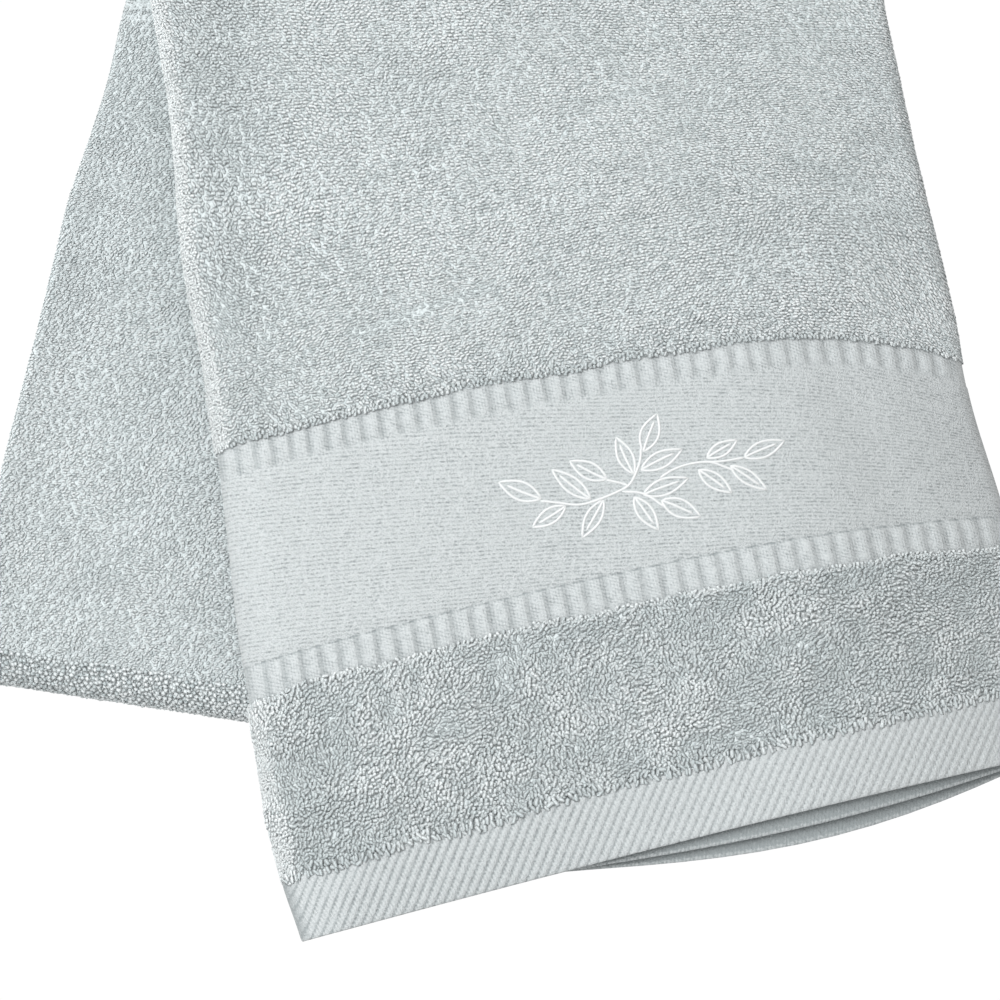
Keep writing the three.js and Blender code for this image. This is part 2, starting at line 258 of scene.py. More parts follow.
# A place in the folded strip to a place in space. lift counts outwards from the stack's middle.
def drape(along, across, lift):
    lean = np.radians(lie_value(along, "lean"))
    free = smoothstep(np.abs(along - RAIL_TOP), CALM_FROM, CALM_TO)
    side = across / RIGHT_FOLD
    ripple = free * SIDE_RIPPLE * np.sin(2 * math.pi * along / SIDE_RIPPLE_LENGTH)
    wide = spread_place(along, across) + ripple * side
    bow = lie_value(along, "bow") * np.cos(side * math.pi / (2 * BOW_REACH))
    bow = bow - lie_value(along, "droop") * towards_fold(across, DROOP_START)
    x = on_middle_line(MIDDLE_X, along) + wide * np.cos(lean)
    climb = on_middle_line(MIDDLE_CLIMB, along) + wide * np.sin(lean) + bow
    reach = DRAPE_RADIUS + lift + bulge(along, across)
    angle = np.clip(climb, -QUARTER_TURN, QUARTER_TURN) / DRAPE_RADIUS
    hanging = np.maximum(0.0, np.abs(climb) - QUARTER_TURN)
    return np.stack([x, reach * np.sin(angle), reach * np.cos(angle) - hanging], axis=-1)


# Where a run lies in the folded section: across the strip, its depth in the half stack, and
# the way the face side points there. The rows are the left third, its fold, the front third,
# the right fold and the right third.
def section_place(run):
    radius = LAYER_PITCH / 2
    left = np.clip((run - LEFT_FOLD_RUN) / radius, 0.0, math.pi)
    right = np.clip((run - RIGHT_FOLD_RUN) / LAYER_PITCH, 0.0, math.pi)
    rows = [
        (run < LEFT_FOLD_RUN, RIGHT_FOLD - LEFT_TUCK - run, 1.5 * LAYER_PITCH, 0.0, 1.0),
        (run < FRONT_RUN, LEFT_FOLD - radius * np.sin(left), LAYER_PITCH + radius * np.cos(left),
         -np.sin(left), np.cos(left)),
        (run < RIGHT_FOLD_RUN, LEFT_FOLD + run - FRONT_RUN, 0.5 * LAYER_PITCH, 0.0, -1.0),
        (run < RIGHT_THIRD_RUN, RIGHT_FOLD + LAYER_PITCH * np.sin(right),
         1.5 * LAYER_PITCH - LAYER_PITCH * np.cos(right), np.sin(right), -np.cos(right)),
        (run >= RIGHT_THIRD_RUN, RIGHT_FOLD - (run - RIGHT_THIRD_RUN), 2.5 * LAYER_PITCH, 0.0, 1.0),
    ]
    lies_there, *columns = zip(*rows)
    return [np.select(lies_there, column) for column in columns]


# Where a length lies in the folded strip: how far along it, and how far round the bottom fold
def strip_place(length):
    bend = (length - STRIP_LENGTH) / BEND_LENGTH
    back = INNER_START + STRIP_LENGTH - length
    along = np.where(bend <= 0, length, np.where(bend >= 1, back, STRIP_LENGTH))
    return along, math.pi * np.clip(bend, 0.0, 1.0)


# How far the hidden layers of the front hem hang below the front one
def hem_sag(along, turn, across, depth):
    place = (across - HEM_SAG_FROM) / (HEM_SAG_TO - HEM_SAG_FROM)
    hangs = (turn == 0) & (place > 0) & (place < 1)
    behind = (depth / LAYER_PITCH - 0.5) / 2
    fade = np.maximum(0.0, 1 - along / HEM_SAG_FADE) ** 2
    return np.where(hangs, HEM_SAG_DEPTH * behind * fade * np.sin(math.pi * place), 0.0)


# Any place on the cloth, or just off it, as a point in space
def cloth_point(run, length, offset):
    run, length, offset = np.broadcast_arrays(
        np.asarray(run, float), np.asarray(length, float), np.asarray(offset, float))
    across, depth, out_across, out_depth = section_place(run)
    along, turn = strip_place(length)
    across = across + offset * out_across
    lift = HALF_STACK - depth - offset * out_depth
    level = np.interp(along, [BORDER_END, FRONT_LENGTH, BACK_START, STRIP_LENGTH], [0, 1, 1, 0])
    slope = level * RAIL_SLOPE * spread_place(along, across)
    sag = hem_sag(along, turn, across, depth)
    place = along - slope - sag + lift * np.sin(turn)
    return drape(place, across, lift * np.cos(turn))


# The same, only as a place in the folded strip
def strip_and_across(run, length):
    return strip_place(length)[0], section_place(run)[0]


# How far in from the nearer end of the towel, and which part of the border is there
def from_end(length):
    return np.minimum(length, TOWEL_LENGTH - length)


def part_at(length):
    return np.clip(np.searchsorted(PART_STARTS, from_end(length), side="right") - 1, 0, len(BORDER))


NOISE_CELLS = 64         # before the hills repeat


# Smooth random hills about as wide as size, from -1 to 1
def soft_noise(x, y, size, seed):
    hills = np.random.default_rng(seed).uniform(-1, 1, (NOISE_CELLS, NOISE_CELLS))
    column = np.floor(x / size).astype(int)
    row = np.floor(y / size).astype(int)
    right = smoothstep(x / size - column, 0, 1)
    up = smoothstep(y / size - row, 0, 1)
    columns = (column % NOISE_CELLS, (column + 1) % NOISE_CELLS)
    rows = (row % NOISE_CELLS, (row + 1) % NOISE_CELLS)
    low, high = [hills[columns[0], line] * (1 - right) + hills[columns[1], line] * right for line in rows]
    return low * (1 - up) + high * up


# The same in two sizes. The kind gives how much finer the second is, both shares and the seed.
def rough_noise(x, y, size, kind):
    finer, share, finer_share, seed = kind
    return soft_noise(x, y, size, seed) * share + soft_noise(x, y, size / finer, seed + 1) * finer_share


def new_object(name, data):
    made = bpy.data.objects.new(name, data)
    bpy.context.scene.collection.objects.link(made)
    return made


# A mesh object at the origin from points in millimetres and triangles
def new_piece(name, points, triangles):
    mesh = bpy.data.meshes.new(name)
    mesh.vertices.add(len(points))
    mesh.vertices.foreach_set("co", (np.asarray(points) * MM).astype(np.float32).ravel())
    mesh.loops.add(len(triangles) * 3)
    mesh.loops.foreach_set("vertex_index", np.asarray(triangles, np.int32).ravel())
    mesh.polygons.add(len(triangles))
    mesh.polygons.foreach_set("loop_start", np.arange(0, len(triangles) * 3, 3, dtype=np.int32))
    mesh.polygons.foreach_set("use_smooth", np.ones(len(triangles), bool))
    mesh.update(calc_edges=True)
    return new_object(name, mesh)


# A number for each point of a piece, which its material can read
def set_point_values(piece, name, values):
    attribute = piece.data.attributes.new(name, "FLOAT", "POINT")
    attribute.data.foreach_set("value", np.asarray(values, np.float32))


# The woven cloth, with the steps between its columns and its rows of points
FACE_STEPS = {"plain": 4.2, "ribs": RIB_PITCH / RIB_STEPS, "hem": HEM_PITCH / HEM_STEPS}
HIDDEN_STEP = 12.5
FOLD_STEP = 0.95
HEM_EDGE_ROWS = (0.0, 0.35, 0.9)
HEM_ROWS_START = 1.8
BORDER_ROW_STEPS = {"hem": 1.9, "ribs": 2.6, "plain": 3.6}
HIDDEN_BORDER_STEPS = dict.fromkeys(BORDER_ROW_STEPS, 6.0)
ROW_STEP = 6.0
BEND_ROW_STEP = 1.3
HIDDEN_ROW_STEP = 10.0
HIDDEN_BLEND = 8.0       # the ground thickens over this run behind the folds


# Half the cloth's thickness. The pile's own is left to the loops where they show.
def half_thickness(run, length, face_side):
    place = from_end(length)
    shows = face_side * hump(run, LEFT_FOLD_RUN - HIDDEN_BLEND, LEFT_FOLD_RUN,
                             RIGHT_THIRD_RUN, RIGHT_THIRD_RUN + HIDDEN_BLEND)
    pile_half = PILE_THICKNESS / 2 + (GROUND_HALF - PILE_THICKNESS / 2) * shows
    halves = [row.get("half", pile_half) for row in BORDER] + [pile_half]
    rounding = np.sqrt(np.clip(place / HEM_ROUNDING, 0, 1))
    half = HEM_EDGE_HALF + (halves[0] - HEM_EDGE_HALF) * rounding
    for index in range(1, len(halves)):
        edge = PART_STARTS[index]
        step = smoothstep(place, edge - PART_EDGE, edge + PART_EDGE)
        half = half + (halves[index] - halves[index - 1]) * step
    return half


# 1 well inside the front third, 0 at its long folds
def clear_of_folds(run):
    return hump(run, FRONT_RUN, FRONT_RUN + HEM_TAPER, RIGHT_FOLD_RUN - HEM_TAPER, RIGHT_FOLD_RUN)


# 1 on the front third, 0 from just round its long folds
def front_share(run):
    return hump(run, FRONT_RUN - RIBS_END_OUT, FRONT_RUN + RIBS_END_IN,
                RIGHT_FOLD_RUN - RIBS_END_IN, RIGHT_FOLD_RUN + RIBS_END_OUT)


# How high the border's ribs stand, from the pattern's own run
def rib_rise(pattern_run, length):
    place = from_end(length)
    name = PARTS[int(part_at(length))]
    if name == "hem":
        phase = ((pattern_run - FRONT_RUN) / HEM_PITCH) % 1.0
        groove = HEM_GROOVE_DEPTH * np.exp(-((phase - 0.5) / HEM_GROOVE_WIDTH) ** 2)
        fade = smoothstep(place, *HEM_FADE) * clear_of_folds(pattern_run) ** 2
        rounded = HEM_ROUND_SHARE * np.cos(2 * math.pi * phase)
        return HEM_RISE * fade * (rounded + (1 - HEM_ROUND_SHARE) * (1 - groove))
    if "rib" not in name:
        return pattern_run * 0.0
    start = PART_STARTS[PARTS.index(name)] + PART_EDGE
    end = PART_STARTS[PARTS.index(name) + 1] - PART_EDGE
    phase = ((pattern_run - FRONT_RUN) / RIB_PITCH) % 1.0
    return RIB_RISE * hump(phase, *RIB_CREST) * hump(place, start, start + RIB_FADE, end - RIB_FADE, end)


def spread_stops(start, end, step):
    count = max(1, round((end - start) / step))
    return np.linspace(start, end, count + 1)


# One ring of the cloth: up its face side from one long edge to the other, then back. Gives
# each point's run, whether it is on the face, and its run in the woven pattern.
def ring_stops(length, detail):
    left_third = spread_stops(0.0, LEFT_FOLD_RUN, HIDDEN_STEP)[:-1]
    left_fold = spread_stops(LEFT_FOLD_RUN, FRONT_RUN, FOLD_STEP)[:-1]
    front = spread_stops(FRONT_RUN, RIGHT_FOLD_RUN, FACE_STEPS[detail])[:-1]
    behind_front = spread_stops(FRONT_RUN, RIGHT_FOLD_RUN, HIDDEN_STEP)[:-1]
    right_fold = spread_stops(RIGHT_FOLD_RUN, RIGHT_THIRD_RUN, FOLD_STEP)[:-1]
    right_third = spread_stops(RIGHT_THIRD_RUN, TOWEL_WIDTH, HIDDEN_STEP)
    pattern = np.concatenate([left_third, left_fold, front, right_fold, right_third])
    back = np.concatenate([left_third, left_fold[::2], behind_front, right_fold[::2], right_third])[::-1]
    face = pattern
    if detail == "hem":
        shift = math.tan(HEM_SLANT) * (from_end(length) - HEM_LENGTH / 2)
        face = pattern + shift * clear_of_folds(pattern)
    on_face = np.repeat([True, False], [len(face), len(back)])
    return np.concatenate([face, back]), on_face, np.concatenate([pattern, back])


# The rows of one border, each with its distance from the hem's edge and its detail
def border_rows(shows):
    steps = BORDER_ROW_STEPS if shows else HIDDEN_BORDER_STEPS
    hem_rows = spread_stops(HEM_ROWS_START, STRIP_START - PART_EDGE, steps["hem"])
    rows = [(place, "hem") for place in (*HEM_EDGE_ROWS, *hem_rows)]
    for index in range(1, len(BORDER)):
        start = PART_STARTS[index] + PART_EDGE
        end = PART_STARTS[index + 1] - PART_EDGE
        if "rib" in BORDER[index]["part"]:
            middle = spread_stops(start + RIB_FADE, end - RIB_FADE, steps["ribs"])
            places = [start, start + RIB_FADE / 2, *middle, end - RIB_FADE / 2, end]
            rows += [(place, "ribs") for place in places]
        else:
            rows += [(place, "plain") for place in spread_stops(start, end, steps["plain"])]
    rows.append((BORDER_END + PART_EDGE, "plain"))
    return rows if shows else [(place, "plain") for place, _ in rows]


def cloth_rows():
    pile_start = BORDER_END + PART_EDGE
    rows = border_rows(True)
    for start, end, step in [
        (pile_start, STRIP_LENGTH, ROW_STEP),
        (STRIP_LENGTH, INNER_START, BEND_ROW_STEP),
        (INNER_START, TOWEL_LENGTH - pile_start, HIDDEN_ROW_STEP),
    ]:
        rows += [(place, "plain") for place in spread_stops(start, end, step)[1:]]
    rows += [(TOWEL_LENGTH - place, detail) for place, detail in reversed(border_rows(False))][1:]
    return rows


# Joins two rings, also where one has more points, by walking round both at once
def stitch_rings(triangles, ring_a, start_a, ring_b, start_b):
    count_a = len(ring_a)
    count_b = len(ring_b)
    a = 0
    b = 0
    while a < count_a or b < count_b:
        run_a = ring_a[a + 1] if a + 1 < count_a else math.inf
        run_b = ring_b[b + 1] if b + 1 < count_b else math.inf
        take_a = b >= count_b or (a < count_a and run_a <= run_b)
        if take_a:
            triangles.append((start_a + a, start_a + (a + 1) % count_a, start_b + b % count_b))
            a += 1
        else:
            triangles.append((start_a + a % count_a, start_b + (b + 1) % count_b, start_b + b))
            b += 1


# How far round its ring each point is, growing all the way
def way_round(run, on_face):
    return np.where(on_face, run, 2 * TOWEL_WIDTH + 1 - run)


# Closes the cut end of the cloth between the two sides of its last ring
def close_end(triangles, ring, flip):
    start, run, on_face = ring
    face_count = int(on_face.sum())
    a = 0
    b = len(run) - 1
    while a < face_count - 1 or b > face_count:
        next_a = run[a + 1] if a < face_count - 1 else math.inf
        next_b = run[b - 1] if b > face_count else math.inf
        if next_a <= next_b:
            corner = (start + a, start + b, start + a + 1)
            a += 1
        else:
            corner = (start + a, start + b, start + b - 1)
            b -= 1
        triangles.append(corner[::-1] if flip else corner)


def make_cloth(materials):
    points = []
    weave = []
    rings = []
    start = 0
    for length, detail in cloth_rows():
        run, on_face, pattern = ring_stops(length, detail)
        half = half_thickness(run, length, on_face)
        if detail != "plain":
            half = half + rib_rise(pattern, length) * on_face * front_share(run)
        points.append(cloth_point(run, length, np.where(on_face, half, -half)))
        weave.append(np.stack([run, np.full(len(run), length)], axis=1))
        rings.append((start, run, on_face))
        start += len(run)
    triangles = []
    for (start_a, *ring_a), (start_b, *ring_b) in zip(rings, rings[1:]):
        stitch_rings(triangles, way_round(*ring_a), start_a, way_round(*ring_b), start_b)
    close_end(triangles, rings[0], False)
    close_end(triangles, rings[-1], True)
    weave = np.concatenate(weave)
    triangles = np.array(triangles, np.int32)
    cloth = new_piece("towel_cloth", np.concatenate(points), triangles)
    weave_map = cloth.data.uv_layers.new(name="weave")
    weave_map.data.foreach_set("uv", (weave[triangles.ravel()] * MM).astype(np.float32).ravel())
    for part in PARTS:
        cloth.data.materials.append(materials[part])
    middle = weave[triangles, 1].mean(axis=1)
    cloth.data.polygons.foreach_set("material_index", part_at(middle).astype(np.int32))
    return cloth


# The pile: each loop of yarn is a little closed arch, standing with both feet in the ground.
# Each stop has its place along and up, as shares of the loop's length and height, and its
# thickness, as a share of the loop's width.
ROUND_ARCH = [(-0.50, -0.30, 0.0), (-0.30, 0.66, 0.95), (0.30, 0.74, 1.0), (0.50, -0.10, 0.0)]
LEANING_ARCH = [(-0.50, -0.40, 0.0), (-0.22, 0.52, 0.9), (0.30, 0.86, 1.05), (0.50, 0.30, 0.0)]
PLAIN_ARCH = [(-0.50, -0.20, 0.0), (0.04, 0.75, 1.2), (0.50, -0.20, 0.0)]
# One foot in the pile, and the crown hanging clear over what lies below its edge
HANGING_ARCH = [(-0.50, 0.00, 0.0), (-0.22, 0.80, 1.0), (0.30, 0.66, 1.15), (0.50, 0.34, 0.0)]
# A loop's section: across it and up, as shares of its width
LOOP_SECTION = [(0.0, 0.1), (0.5, -0.08), (-0.5, -0.08)]
LONG_SPREAD = (0.8, 1.22)
WIDE_SPREAD = (0.85, 1.15)
PARTED_DROP = 0.8        # of the loops' height, where they part
EVEN_SAMPLES = 600

# How the loops vary: sizes in millimetres, seeds, and kinds of rough noise
WAVER_SIZE = 13.0        # of the bends in the rows of loops
WAVER_SEED = 16
UNEVEN_SIZE = 3.4
UNEVEN_SEED = 15
UNEVEN_SHARE = 0.12
CLOUD_SIZE = 24.0        # of the paler and darker patches
CLOUD_NOISE = (2.6, 0.6, 0.4, 17)
SWIRL_NOISE = (2.3, 0.7, 0.5, 11)
HILL_NOISE = (2.7, 0.65, 0.35, 13)
TUFTS_FROM_FOLD = 8.0
TUFTS_TO_FOLD = 46.0
TUFTS_FROM_BORDER = 3.0
TUFTS_TO_BORDER = 20.0
TUFTS_BY_BORDER = 0.8

# Tones run from 0 for the darkest loops to 1 for the palest
TONE_SPREAD = 0.1
CLOUD_TONE = 0.3
# Painted shade in creases, along partings, on spots among the tufts and over the tufted pile
CREASE_PAINTED_SHADE = 0.12
PARTING_PAINTED_SHADE = 1.2
SPOT_PAINTED_SHADE = 0.8
TUFT_PAINTED_SHADE = 0.12
# Inwards from the front's left fold: a painted highlight on the rim, painted shade in the hollow beside it
# and in the patch at its top
RIM_FADE = (1.5, 4.5)
RIM_PAINTED_HIGHLIGHT = 0.6
HOLLOW = (3.5, 7, 12, 34)
HOLLOW_PAINTED_SHADE = 0.22
PATCH_LENGTHS = (220, 300)
PATCH_FADE = (24, 62)
PATCH_PAINTED_SHADE = 0.16
FRONT_FADE = 30          # past the front tail's end
# Painted shadow on the tail behind, cast by the front's left fold
TAIL_PAINTED_SHADOW = 0.5         # on the tail behind, right beside the front's left fold
TAIL_SHADOW_REACH = 6.0


# The corners of one arch in order along its yarn, with their places along and up, and aside
# and up in the yarn's own section; then its triangles
def arch_shape(arch):
    corners = []
    rings = []
    for along, up, thick in arch:
        section = LOOP_SECTION if thick else [(0.0, 0.0)]
        rings.append(range(len(corners), len(corners) + len(section)))
        corners += [(along, up, side * thick, rise * thick) for side, rise in section]
    triangles = []
    for low, high in zip(rings, rings[1:]):
        for index in range(len(LOOP_SECTION)):
            after = (index + 1) % len(LOOP_SECTION)
            if len(low) == 1:
                triangles.append((low[0], high[index], high[after]))
            elif len(high) == 1:
                triangles.append((high[0], low[after], low[index]))
            else:
                triangles.append((low[index], high[index], high[after]))
                triangles.append((low[index], high[after], low[after]))
    return np.array(corners), np.array(triangles, np.int32)


# Places along one way over the cloth, an even distance apart on its surface, and how far each
# is from the next in run or length, as a share of that distance
def even_places(ends, pitch, point_at):
    fine = np.linspace(*ends, EVEN_SAMPLES)
    steps = np.linalg.norm(np.diff(point_at(fine), axis=0), axis=1)
    reach = running_total(steps)
    count = max(2, round(reach[-1] / pitch))
    places = np.interp((np.arange(count) + 0.5) * reach[-1] / count, reach, fine)
    return places, np.abs(np.gradient(places) / (reach[-1] / count))


# The places of a piece's loops in their staggered rows, and those shares
def loop_places(row, chance):
    middle_run = sum(row["run"]) / 2
    middle_length = sum(row["length"]) / 2
    top = GROUND_HALF + row["tall"]
    row_pitch = row["pitch"] * row["row_share"]
    runs, run_scale = even_places(
        row["run"], row["pitch"], lambda place: cloth_point(place, middle_length, top))
    lengths, length_scale = even_places(
        row["length"], row_pitch, lambda place: cloth_point(middle_run, place, top))
    shape = (len(lengths), len(runs))
    stagger = (np.arange(len(lengths)) % 2 * 0.5 - 0.25)[:, None]
    run = runs + (stagger + row["loose"] * chance.uniform(-1, 1, shape)) * np.gradient(runs)
    length = row["loose_row"] * chance.uniform(-1, 1, shape) * np.gradient(lengths)[:, None]
    length = lengths[:, None] + length
    run_scale = np.broadcast_to(run_scale, shape)
    length_scale = np.broadcast_to(length_scale[:, None], shape)
    length = length + row["waver"] * soft_noise(run, length, WAVER_SIZE, WAVER_SEED) * length_scale
    shows = row["shows"](run, length)
    return [values[shows] for values in (run, length, run_scale, length_scale)]


# 1 beside the left fold, less and less across the front
def by_left_fold(run):
    return 1 - smoothstep(run - FRONT_RUN, TUFTS_FROM_FOLD, TUFTS_TO_FOLD)


# 1 where the pile stands in tufts: beside the left fold and just above the border
def tuft_share(run, length):
    by_border = 1 - smoothstep(length - BORDER_END, TUFTS_FROM_BORDER, TUFTS_TO_BORDER)
    return np.maximum(by_left_fold(run), TUFTS_BY_BORDER * by_border * (length > STRIP_END))


# Which way each loop lies: 0 along the run, a quarter turn along the length
def loop_angles(row, chance, run, length, tufts):
    drift = rough_noise(run, length, row["swirl_size"], SWIRL_NOISE)
    by_right = smoothstep(run - RIGHT_FOLD_RUN, row["right_from"], 0)
    lay = row["lay"] + row["lay_left"] * by_left_fold(run) + row["lay_right"] * by_right
    tangle = chance.normal(0, row["tangle"], len(run)) * tufts
    return lay + row["swirl"] * drift * tufts * math.pi + tangle


# Painted light by the front's left fold: a painted highlight round it, painted shade beside it and a painted
# shadow on the tail behind
def fold_painted_light(run, length):
    inwards = run - FRONT_RUN
    front = 1 - smoothstep(length, FRONT_LENGTH, FRONT_LENGTH + FRONT_FADE)
    rim = 1 - smoothstep(inwards, *RIM_FADE)
    patch = smoothstep(length, *PATCH_LENGTHS) * (1 - smoothstep(inwards, *PATCH_FADE)) * (1 - rim)
    place = cloth_point(run, length, GROUND_HALF)
    beside = np.exp(-np.abs(left_fold_x(place[:, 2]) - place[:, 0]) / TAIL_SHADOW_REACH)
    tone = RIM_PAINTED_HIGHLIGHT * rim - HOLLOW_PAINTED_SHADE * hump(inwards, *HOLLOW) - PATCH_PAINTED_SHADE * patch
    return front * tone - TAIL_PAINTED_SHADOW * (1 - front) * beside


def loop_tones(row, chance, run, length, hill, tufts, parted):
    cloud = rough_noise(run, length, CLOUD_SIZE, CLOUD_NOISE)
    creased = crease_depth(*strip_and_across(run, length))
    tone = row["tone"] + chance.normal(0, TONE_SPREAD, len(run))
    # The hills' low parts are painted darker and their tops paler: painted shade and painted light
    tone = tone + row["hill_shade"] * hill + CLOUD_TONE * cloud
    # Painted shade: random loops among the tufts are darkened though they stand no lower, and so are loops
    # in creases, partings and tufts
    shaded_spots = chance.uniform(0, 1, len(run)) < row["shaded_spots"] * tufts
    tone = tone - CREASE_PAINTED_SHADE * creased - PARTING_PAINTED_SHADE * parted
    tone = tone - SPOT_PAINTED_SHADE * shaded_spots - TUFT_PAINTED_SHADE * (tufts - 1)
    return np.clip(tone + fold_painted_light(run, length), 0, 1)


# The loops of one piece of pile. row is one line of PILES.
def make_pile(row, material):
    chance = np.random.default_rng(row["seed"])
    run, length, run_scale, length_scale = loop_places(row, chance)
    count = len(run)
    tufts = 1 + row["tufts"] * tuft_share(run, length)
    angle = loop_angles(row, chance, run, length, tufts)
    hill = rough_noise(run, length, row["hill_size"], HILL_NOISE)
    parted = crease_depth(*strip_and_across(run, length), PARTINGS)
    uneven = UNEVEN_SHARE * soft_noise(run, length, UNEVEN_SIZE, UNEVEN_SEED)
    uneven = uneven + chance.uniform(-row["uneven"], row["uneven"], count)
    tall = row["tall"] * (1 + uneven) * (1 - PARTED_DROP * parted) + row["hill"] * hill * tufts
    long = row["long"] * chance.uniform(*LONG_SPREAD, count)
    wide = row["wide"] * chance.uniform(*WIDE_SPREAD, count)
    curl = chance.normal(0, row["curl"], count) * long
    tone = loop_tones(row, chance, run, length, hill, tufts, parted)
    corners, triangles = arch_shape(row["arch"])
    along, up, side, section_up = corners.T[:, :, None]
    ahead = along * long
    aside = side * wide + (1 - (2 * along) ** 2) * curl
    along_run = ahead * np.cos(angle) - aside * np.sin(angle)
    along_length = ahead * np.sin(angle) + aside * np.cos(angle)
    rise = up * tall + section_up * wide + row["shingle"] * row["down"] * along_length
    points = cloth_point(
        run + along_run * run_scale, length + along_length * length_scale, GROUND_HALF + rise)
    starts = (np.arange(count) * len(corners))[:, None, None]
    piece = new_piece(row["name"], points.swapaxes(0, 1).reshape(-1, 3), (triangles + starts).reshape(-1, 3))
    set_point_values(piece, "height", np.clip(rise / row["tall"], 0, 1).T.ravel())
    set_point_values(piece, "tone", np.repeat(tone, len(corners)))
    piece.data.materials.append(material)
    return piece


FRONT_TAIL_MARGIN = 7.0
BY_LEFT_FOLD = 4
BY_RIGHT_FOLD = 12
EDGE_SAMPLES = 60


# The front tail hides what lies behind it: x of its left fold, and of the back tail's right one
def left_fold_x(z):
    lengths = np.linspace(0, FRONT_LENGTH, EDGE_SAMPLES)
    edge = cloth_point((LEFT_FOLD_RUN + FRONT_RUN) / 2, lengths, 0.0)
    return np.interp(z, edge[:, 2], edge[:, 0])


def right_fold_x(z):
    lengths = np.linspace(BACK_START, STRIP_LENGTH, EDGE_SAMPLES)[::-1]
    edge = cloth_point((RIGHT_FOLD_RUN + RIGHT_THIRD_RUN) / 2, lengths, 0.0)
    return np.where(z < edge[0, 2], -np.inf, np.interp(z, edge[:, 2], edge[:, 0]))


# Which of a piece's loops are made
def everywhere(run, length):
    return np.ones(run.shape, bool)


def beside_front_tail(run, length):
    place = cloth_point(run, length, GROUND_HALF)
    return place[..., 0] < left_fold_x(place[..., 2]) + FRONT_TAIL_MARGIN


def by_fold_inside(run, length):
    by_fold = (run > RIGHT_FOLD_RUN - BY_RIGHT_FOLD) | (run < FRONT_RUN + BY_LEFT_FOLD)
    return by_fold & ~beside_front_tail(run, length)


def past_back_tail(run, length):
    place = cloth_point(run, length, GROUND_HALF)
    free = place[..., 0] > right_fold_x(place[..., 2]) - FRONT_TAIL_MARGIN
    return free | (run < FRONT_RUN + BY_LEFT_FOLD)


RUN_SHOWN = (LEFT_FOLD_RUN + 1.5, RIGHT_THIRD_RUN + 1.0)
RUN_RIM = (LEFT_FOLD_RUN - 1.5, FRONT_RUN + 2.0)
RUN_FRONT = (FRONT_RUN - 1.0, RIGHT_FOLD_RUN + 2.0)
FINE = dict(
    pitch=1.75, row_share=0.64, loose=0.3, loose_row=0.24, waver=1.0,
    long=1.95, wide=1.22, tall=0.5, uneven=0.26, curl=0.08, arch=ROUND_ARCH,
    run=RUN_SHOWN, shows=everywhere,
    lay=0.03, lay_left=-0.3, lay_right=-0.5, right_from=-60.0,
    swirl=0.15, swirl_size=20.0, tangle=0.3, tufts=0.9, shaded_spots=0.18,
    hill=0.2, hill_size=13.0, shingle=0.2, down=-1, tone=0.78, hill_shade=0.3,
)
STRIP = dict(
    FINE, pitch=1.45, row_share=0.80, loose=0.34, loose_row=0.34,
    long=2.3, wide=1.5, tall=0.7, uneven=0.32, curl=0.2, arch=LEANING_ARCH,
    lay=1.0, lay_left=0.0, lay_right=-0.8, right_from=-110.0,
    swirl=0.42, swirl_size=13.0, tangle=0.5, tufts=0.0, shaded_spots=0.08,
    # A low tone: painted shade for the deeper shade among the strip's taller loops
    hill=0.8, hill_size=9.0, shingle=0.12, tone=0.24, hill_shade=0.55,
)
COARSE = dict(
    FINE, pitch=2.3, row_share=0.94, loose_row=0.3, long=3.0, wide=2.0,
    tall=1.1, arch=PLAIN_ARCH, swirl=0.4, tangle=0.5, lay_left=0.0, lay_right=0.0,
    shingle=0.1,
)
RIM = dict(
    FINE, pitch=1.05, row_share=0.95, long=1.5, wide=1.3, shaded_spots=0.0, run=RUN_RIM,
    lay_left=0.0, lay=1.4, tangle=0.6, shingle=0.1,
)
HANGING = dict(
    STRIP, arch=HANGING_ARCH, run=RUN_FRONT, lay=-math.pi / 2, lay_right=0.0, swirl=0.18,
    row_share=1.0, hill=0.2, shingle=0.0,
)
